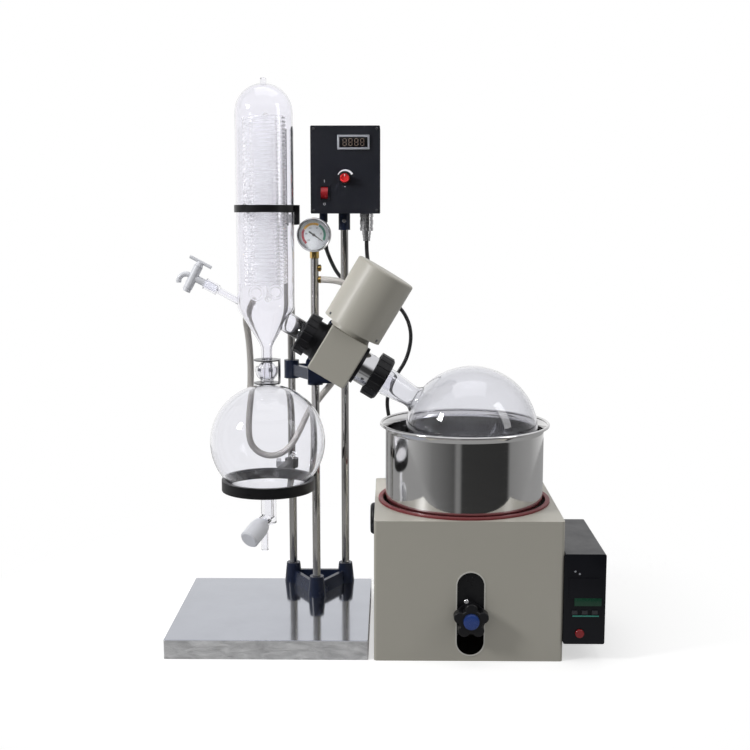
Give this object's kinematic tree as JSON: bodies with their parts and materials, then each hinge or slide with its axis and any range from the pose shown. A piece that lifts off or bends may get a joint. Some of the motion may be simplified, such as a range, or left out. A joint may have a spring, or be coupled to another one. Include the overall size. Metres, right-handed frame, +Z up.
{
  "type": "rotary evaporator",
  "caption": "Rotary evaporator with a slanted geared drive head, round flasks, an upright glass condenser on a post stand, and a separate lifting heating bath with its controller.",
  "frame": {"origin": "centre of the base tray's footprint, on the bench, under the tray's floor plate", "axes": "+X to the right towards the heating bath, +Y to the back, +Z up; the glass lies in the plane Y = 0"},
  "size_m": [0.707, 0.4789, 0.93],
  "materials": {
    "stainless_sheet": "bright rolled sheet under a clear film",
    "post_steel": "drawn and polished",
    "screw_steel": "plated",
    "dark_casting": "stove enamel on castings",
    "beige_paint": "satin powder coat",
    "black_plastic": "moulded",
    "white_plastic": "turned fluoropolymer",
    "clear_glass": "fire polished",
    "gauge_glass": "flat pane",
    "turned_steel": "turned and ground",
    "gauge_case_paint": "gloss black",
    "needle_paint": "matt black",
    "fitting_brass": "turned",
    "control_paint": "fine texture powder coat",
    "red_plastic": "moulded",
    "polished_pot": "spun and polished stainless",
    "carrier_aluminium": "plain plate",
    "bath_floor_steel": "painted sheet",
    "gasket_rubber": "moulded silicone",
    "element_steel": "heat tinted",
    "controller_plastic": "moulded",
    "key_plastic": "moulded",
    "hose_rubber": "thick-walled vacuum hose",
    "cord_rubber": "extruded jacket"
  },
  "bodies": {
    "stand": {"base_tray": "stainless_sheet", "base_floor_plate": "stainless_sheet", "rear_posts": "post_steel", "front_post": "post_steel", "fasteners": "screw_steel", "base_spider": "dark_casting", "upper_spider": "dark_casting", "head_backplate": "dark_casting", "condenser_clamp": "dark_casting", "receiver_ring": "dark_casting", "gear_housing": "beige_paint", "motor_body": "beige_paint", "motor_cover": "beige_paint", "bath_wrap": "beige_paint", "bath_top": "beige_paint", "bearing_caps": "black_plastic", "union_nut": "black_plastic", "joint_clip": "black_plastic", "carry_grip": "black_plastic", "box_fittings": "black_plastic", "power_plug": "black_plastic", "spindle_seal": "white_plastic", "condenser_body": "clear_glass", "condenser_coil": "clear_glass", "feed_tap_body": "clear_glass", "receiving_flask": "clear_glass", "gauge_lens": "gauge_glass", "bearings": "turned_steel", "gauge_case": "gauge_case_paint", "vacuum_fittings": "fitting_brass", "control_box": "control_paint", "control_panel": "control_paint", "bath_floor": "bath_floor_steel", "bath_gasket": "gasket_rubber", "controller_case": "controller_plastic", "controller_panel": "controller_plastic", "vacuum_hose": "hose_rubber", "power_cord": "cord_rubber", "motor_cable": "cord_rubber", "cord_coil": "cord_rubber"},
    "spindle": {"spindle": "turned_steel", "crown_gear": "turned_steel", "ring_nut": "black_plastic", "vapour_tube": "clear_glass", "evaporating_flask": "clear_glass"},
    "motor_rotor": {"motor_shaft": "turned_steel"},
    "gauge_needle": {"gauge_needle": "needle_paint"},
    "speed_knob": {"speed_knob": "black_plastic"},
    "power_rocker": {"power_rocker": "red_plastic"},
    "feed_key": {"feed_key": "white_plastic"},
    "drain_stem": {"drain_stem": "white_plastic"},
    "drain_knob": {"drain_knob": "black_plastic"},
    "bath_lift": {"bath_pot": "polished_pot", "pot_carrier": "carrier_aluminium", "heating_element": "element_steel"},
    "star_knob": {"star_knob": "black_plastic"},
    "set_key_left": {"set_key_left": "key_plastic"},
    "set_key_middle": {"set_key_middle": "key_plastic"},
    "set_key_right": {"set_key_right": "key_plastic"},
    "heater_switch": {"heater_switch": "red_plastic"}
  },
  "joints": [
    {"name": "spindle_spin", "type": "hinge", "parent": "stand", "child": "spindle", "pos_m": [0.337, 0, 0.345], "axis": [-0.8572, 0, 0.515], "continuous": true},
    {"name": "motor_spin", "type": "hinge", "parent": "stand", "child": "motor_rotor", "pos_m": [0.11156, 0, 0.48046], "axis": [0.515, 0, 0.8572], "continuous": true},
    {"name": "gauge_swing", "type": "hinge", "parent": "stand", "child": "gauge_needle", "pos_m": [0.0685, 0.058, 0.675], "axis": [0, 1, 0], "range_deg": [-260, 0], "stiffness_Nm_per_rad": 0.0005},
    {"name": "speed_turn", "type": "hinge", "parent": "stand", "child": "speed_knob", "pos_m": [0.12, 0.112, 0.772], "axis": [0, 1, 0], "range_deg": [-30, 270]},
    {"name": "power_rock", "type": "hinge", "parent": "stand", "child": "power_rocker", "pos_m": [0.084, 0.12, 0.747], "axis": [1, 0, 0], "range_deg": [-9, 9]},
    {"name": "feed_turn", "type": "hinge", "parent": "stand", "child": "feed_key", "pos_m": [-0.12893, 0, 0.60637], "axis": [0.4695, 0, 0.8829], "range_deg": [-90, 90]},
    {"name": "drain_travel", "type": "slide", "parent": "stand", "child": "drain_stem", "axis": [-0.4598, -0.7597, -0.4598], "range_m": [0, 0.006]},
    {"name": "drain_turn", "type": "hinge", "parent": "drain_stem", "child": "drain_knob", "pos_m": [-0.008, 0, 0.198], "axis": [-0.4598, -0.7597, -0.4598], "range_deg": [0, 720]},
    {"name": "bath_raise", "type": "slide", "parent": "stand", "child": "bath_lift", "axis": [0, 0, 1], "range_m": [-0.035, 0.02]},
    {"name": "star_turn", "type": "hinge", "parent": "bath_lift", "child": "star_knob", "pos_m": [0.328, -0.16, 0.074], "axis": [0, -1, 0], "range_deg": [0, 270]},
    {"name": "key_left_press", "type": "slide", "parent": "stand", "child": "set_key_left", "axis": [0, 1, 0], "range_m": [0, 0.0015], "stiffness_N_per_m": 400},
    {"name": "key_middle_press", "type": "slide", "parent": "stand", "child": "set_key_middle", "axis": [0, 1, 0], "range_m": [0, 0.0015], "stiffness_N_per_m": 400},
    {"name": "key_right_press", "type": "slide", "parent": "stand", "child": "set_key_right", "axis": [0, 1, 0], "range_m": [0, 0.0015], "stiffness_N_per_m": 400},
    {"name": "heater_press", "type": "slide", "parent": "stand", "child": "heater_switch", "axis": [0, 1, 0], "range_m": [0, 0.002], "stiffness_N_per_m": 500}
  ],
  "couplings": [
    {"joint": "motor_spin", "follows": "spindle_spin", "ratio": 4},
    {"joint": "drain_travel", "follows": "drain_turn", "m_per_rad": 0.00047746}
  ]
}
